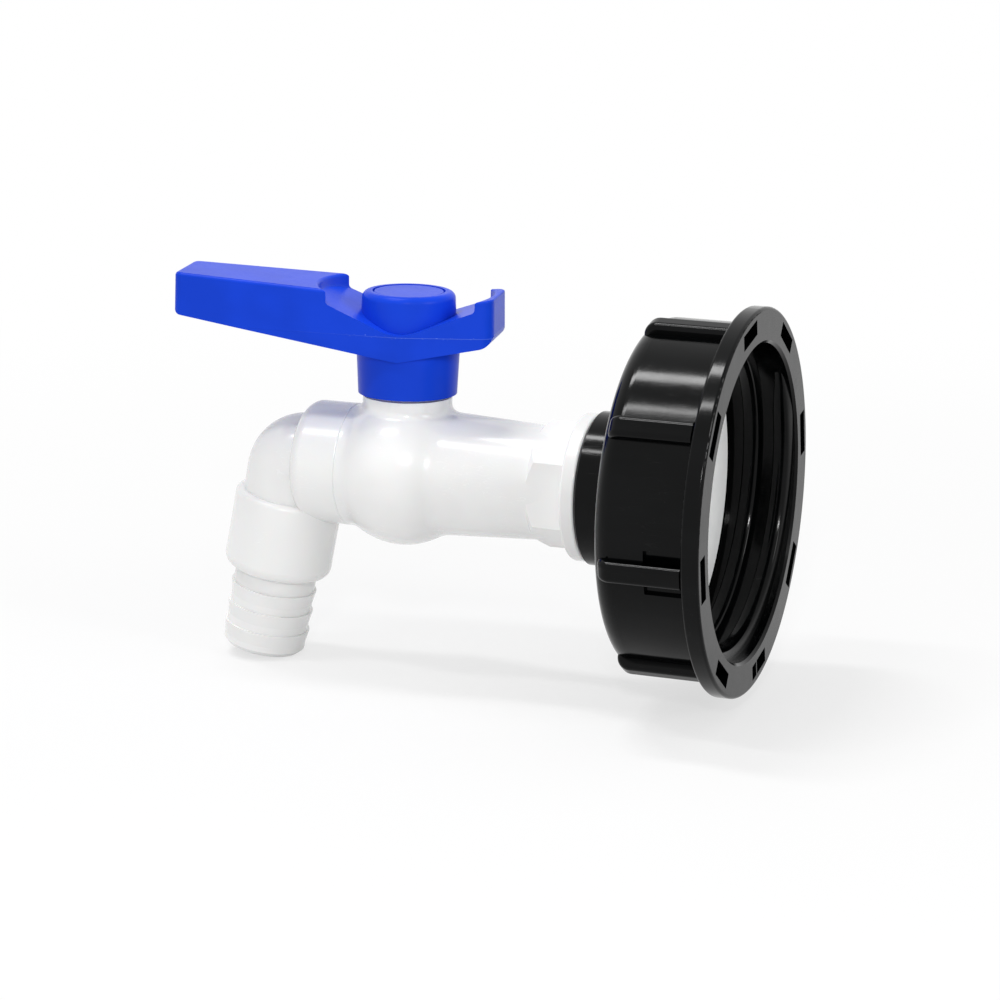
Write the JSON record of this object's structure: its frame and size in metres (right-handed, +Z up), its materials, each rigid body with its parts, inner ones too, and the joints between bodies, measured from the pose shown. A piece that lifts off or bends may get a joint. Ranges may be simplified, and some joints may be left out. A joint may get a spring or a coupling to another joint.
{
  "type": "tank tap",
  "caption": "Plastic ball-valve tap for a bulk container outlet: swivelling coupling nut, quarter-turn lever and a turned-down hose spout.",
  "frame": {"origin": "centre of the gasket's sealing face, where the tap meets the container's outlet", "axes": "+X along the coupling nut's axis, out of the nut's mouth toward the container; +Z up along the lever's stem; the spout points down"},
  "size_m": [0.1144, 0.0734, 0.0769],
  "materials": {
    "black_plastic": "moulded polypropylene, satin",
    "white_plastic": "moulded, glossy",
    "blue_plastic": "moulded, glossy",
    "white_rubber": "smooth",
    "black_rubber": "smooth",
    "seat_plastic": "turned",
    "ball_plastic": "polished",
    "steel": "stainless"
  },
  "bodies": {
    "tap": {"valve_body": "white_plastic", "tank_adapter": "black_plastic", "tank_gasket": "white_rubber", "body_o_ring": "black_rubber", "inlet_seat": "seat_plastic", "outlet_seat": "seat_plastic", "seat_retainer": "white_plastic", "spout_elbow": "white_plastic", "elbow_o_ring": "black_rubber", "hose_nozzle": "white_plastic", "nozzle_o_ring": "black_rubber"},
    "nut": {"tank_nut": "black_plastic"},
    "lever": {"handle": "blue_plastic", "stem": "ball_plastic", "ball": "ball_plastic", "stem_o_rings": "black_rubber", "stem_washer": "seat_plastic", "handle_screw": "steel", "screw_washer": "steel", "handle_cap": "blue_plastic"}
  },
  "joints": [
    {"name": "nut_spin", "type": "hinge", "parent": "tap", "child": "nut", "pos_m": [0, 0, 0], "axis": [1, 0, 0], "continuous": true},
    {"name": "lever_turn", "type": "hinge", "parent": "tap", "child": "lever", "pos_m": [-0.0562, 0, 0], "axis": [0, 0, 1], "range_deg": [-99, 0]}
  ]
}
